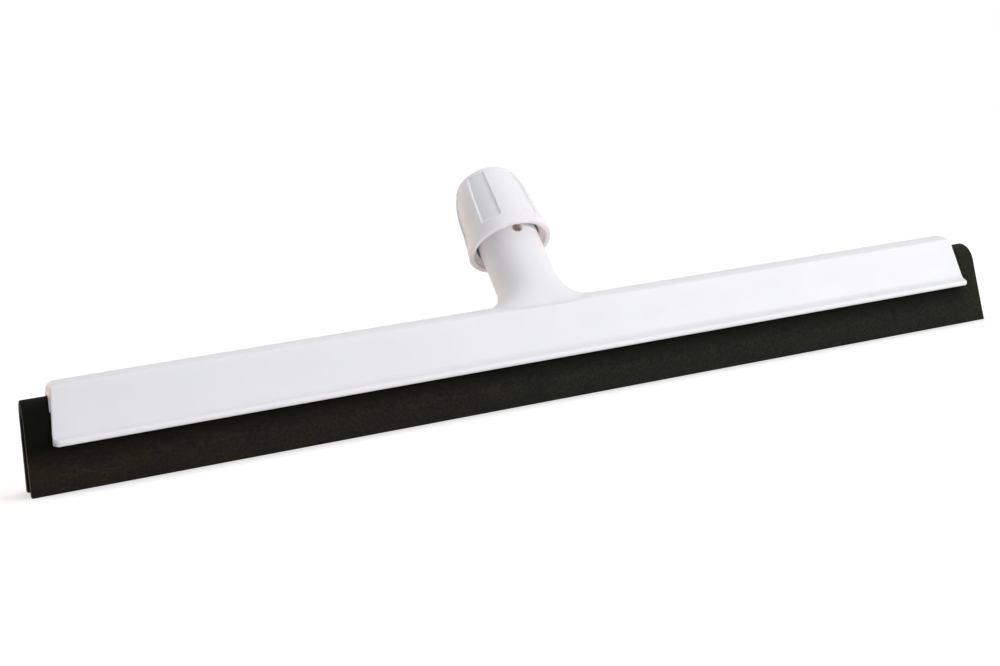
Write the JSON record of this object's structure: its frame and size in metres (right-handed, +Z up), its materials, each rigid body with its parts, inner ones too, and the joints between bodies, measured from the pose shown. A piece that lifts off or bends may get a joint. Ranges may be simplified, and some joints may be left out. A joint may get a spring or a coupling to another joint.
{
  "type": "floor squeegee head",
  "caption": "Wide floor squeegee head with a folded black foam rubber blade in a white moulded channel, and a leaning split handle socket clamped by a screw collar.",
  "frame": {"origin": "on the floor, under the middle of the part's length and depth", "axes": "+X along the blade, +Y to the back, the way the handle leans, +Z up from the floor"},
  "size_m": [0.55, 0.0943, 0.1254],
  "materials": {
    "white_polypropylene": "satin",
    "foam_rubber": "matte",
    "grey_polypropylene": "satin",
    "zinc_steel": "satin"
  },
  "bodies": {
    "head": {"frame": "white_polypropylene", "blade": "foam_rubber", "core_strip": "grey_polypropylene", "core_screws": "zinc_steel"},
    "collar": {"collar": "white_polypropylene"}
  },
  "joints": [
    {"name": "collar_turn", "type": "hinge", "parent": "head", "child": "collar", "pos_m": [0, 0.00754, 0.08046], "axis": [0, 0.6088, 0.7934], "range_deg": [0, 450]}
  ]
}
